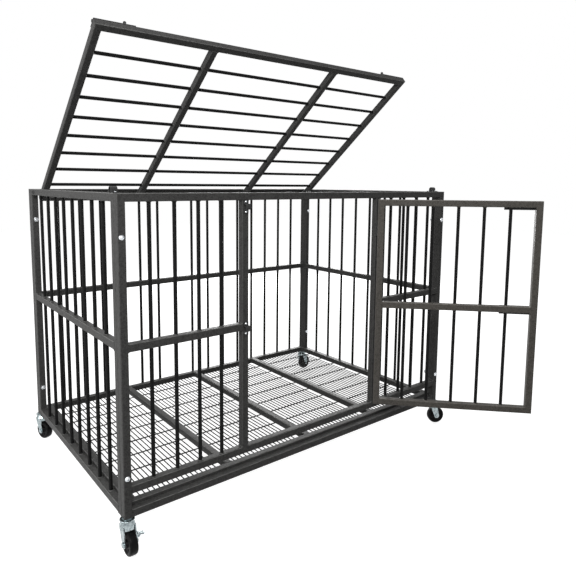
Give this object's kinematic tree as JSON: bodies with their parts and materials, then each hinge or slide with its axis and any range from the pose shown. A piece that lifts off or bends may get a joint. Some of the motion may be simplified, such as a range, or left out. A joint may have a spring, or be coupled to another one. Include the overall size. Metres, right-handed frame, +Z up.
{
  "type": "heavy duty dog crate",
  "caption": "Welded tube-and-bar dog crate on braked swivel casters, with a hinged lid and a hinged front door held by sliding bolts.",
  "frame": {"origin": "on the floor, under the centre of the crate's four corner posts", "axes": "+Z up, +X along the crate's length to the right as seen from the door side, +Y from the door side to the back"},
  "size_m": [1.2642, 1.1898, 1.3084],
  "materials": {
    "tube_coat": "hammered",
    "bar_coat": "hammered",
    "hinge_coat": "satin",
    "latch_coat": "satin",
    "fastener_plating": "bright zinc",
    "caster_plating": "bright zinc",
    "wheel": "matt"
  },
  "bodies": {
    "crate": {"front_frame": "tube_coat", "front_sill": "tube_coat", "door_posts": "tube_coat", "front_mid_rails": "tube_coat", "front_left_bars": "bar_coat", "front_right_bars": "bar_coat", "back_frame": "tube_coat", "back_bars": "bar_coat", "left_end_frame": "tube_coat", "left_end_bars": "bar_coat", "right_end_frame": "tube_coat", "right_end_bars": "bar_coat", "floor_frame": "tube_coat", "floor_bay_wires": "bar_coat", "floor_long_wires": "bar_coat", "corner_bolts": "fastener_plating", "corner_nuts": "fastener_plating", "lid_pivot_bolts": "fastener_plating", "lid_pivot_nuts": "fastener_plating", "lid_pivot_spacers": "fastener_plating", "door_hinge_fixed_leaves": "hinge_coat", "door_hinge_pins": "hinge_coat", "door_keepers": "latch_coat", "lid_keepers": "latch_coat", "keeper_screws": "fastener_plating", "caster_stems": "caster_plating"},
    "lid": {"lid_frame": "tube_coat", "lid_cross_members": "tube_coat", "lid_bars": "bar_coat", "lid_latch_plates": "latch_coat", "lid_latch_screws": "fastener_plating"},
    "left_lid_bolt": {"lid_bolt_left": "latch_coat"},
    "right_lid_bolt": {"lid_bolt_right": "latch_coat"},
    "door": {"door_frame": "tube_coat", "door_mid_rail": "tube_coat", "door_bars": "bar_coat", "door_hinge_leaves": "hinge_coat", "door_latch_plates": "latch_coat", "door_latch_screws": "fastener_plating"},
    "top_door_bolt": {"door_bolt_top": "latch_coat"},
    "middle_door_bolt": {"door_bolt_mid": "latch_coat"},
    "caster_fl": {"fork_fl": "caster_plating", "axle_fl": "caster_plating"},
    "wheel_body_fl": {"wheel_fl": "wheel"},
    "brake_pedal_fl": {"pedal_fl": "caster_plating"},
    "caster_fr": {"fork_fr": "caster_plating", "axle_fr": "caster_plating"},
    "wheel_body_fr": {"wheel_fr": "wheel"},
    "brake_pedal_fr": {"pedal_fr": "caster_plating"},
    "caster_bl": {"fork_bl": "caster_plating", "axle_bl": "caster_plating"},
    "wheel_body_bl": {"wheel_bl": "wheel"},
    "brake_pedal_bl": {"pedal_bl": "caster_plating"},
    "caster_br": {"fork_br": "caster_plating", "axle_br": "caster_plating"},
    "wheel_body_br": {"wheel_br": "wheel"},
    "brake_pedal_br": {"pedal_br": "caster_plating"}
  },
  "joints": [
    {"name": "lid_hinge", "type": "hinge", "parent": "crate", "child": "lid", "pos_m": [0, 0.33, 0.86], "axis": [-1, 0, 0], "range_deg": [-38.2, 71.8]},
    {"name": "left_lid_bolt_slide", "type": "slide", "parent": "lid", "child": "left_lid_bolt", "axis": [-1, 0, 0], "range_m": [0, 0.022]},
    {"name": "right_lid_bolt_slide", "type": "slide", "parent": "lid", "child": "right_lid_bolt", "axis": [1, 0, 0], "range_m": [0, 0.022]},
    {"name": "door_hinge", "type": "hinge", "parent": "crate", "child": "door", "pos_m": [0.249, -0.3956, 0.51], "axis": [0, 0, 1], "range_deg": [-134, 30]},
    {"name": "top_door_bolt_slide", "type": "slide", "parent": "door", "child": "top_door_bolt", "axis": [0.6947, -0.7193, 0], "range_m": [0, 0.022]},
    {"name": "middle_door_bolt_slide", "type": "slide", "parent": "door", "child": "middle_door_bolt", "axis": [0.6947, -0.7193, 0], "range_m": [0, 0.022]},
    {"name": "swivel_fl", "type": "hinge", "parent": "crate", "child": "caster_fl", "pos_m": [-0.6, -0.38, 0.08], "axis": [0, 0, 1], "continuous": true},
    {"name": "roll_fl", "type": "hinge", "parent": "caster_fl", "child": "wheel_body_fl", "pos_m": [-0.6, -0.394, 0.03], "axis": [1, 0, 0], "continuous": true},
    {"name": "brake_fl", "type": "hinge", "parent": "caster_fl", "child": "brake_pedal_fl", "pos_m": [-0.5789, -0.39008, 0.042], "axis": [0, -1, 0], "range_deg": [0, 20]},
    {"name": "swivel_fr", "type": "hinge", "parent": "crate", "child": "caster_fr", "pos_m": [0.6, -0.38, 0.08], "axis": [0, 0, 1], "continuous": true},
    {"name": "roll_fr", "type": "hinge", "parent": "caster_fr", "child": "wheel_body_fr", "pos_m": [0.61212, -0.387, 0.03], "axis": [0.5, 0.866, 0], "continuous": true},
    {"name": "brake_fr", "type": "hinge", "parent": "caster_fr", "child": "brake_pedal_fr", "pos_m": [0.61928, -0.36677, 0.042], "axis": [0.866, -0.5, 0], "range_deg": [0, 20]},
    {"name": "swivel_bl", "type": "hinge", "parent": "crate", "child": "caster_bl", "pos_m": [-0.6, 0.38, 0.08], "axis": [0, 0, 1], "continuous": true},
    {"name": "roll_bl", "type": "hinge", "parent": "caster_bl", "child": "wheel_body_bl", "pos_m": [-0.59521, 0.36684, 0.03], "axis": [0.9397, 0.342, 0], "continuous": true},
    {"name": "brake_bl", "type": "hinge", "parent": "caster_bl", "child": "brake_pedal_bl", "pos_m": [-0.57673, 0.37774, 0.042], "axis": [0.342, -0.9397, 0], "range_deg": [0, 20]},
    {"name": "swivel_br", "type": "hinge", "parent": "crate", "child": "caster_br", "pos_m": [0.6, 0.38, 0.08], "axis": [0, 0, 1], "continuous": true},
    {"name": "roll_br", "type": "hinge", "parent": "caster_br", "child": "wheel_body_br", "pos_m": [0.61386, 0.38195, 0.03], "axis": [-0.1392, 0.9903, 0], "continuous": true},
    {"name": "brake_br", "type": "hinge", "parent": "caster_br", "child": "brake_pedal_br", "pos_m": [0.60704, 0.4023, 0.042], "axis": [0.9903, 0.1392, 0], "range_deg": [0, 20]}
  ]
}
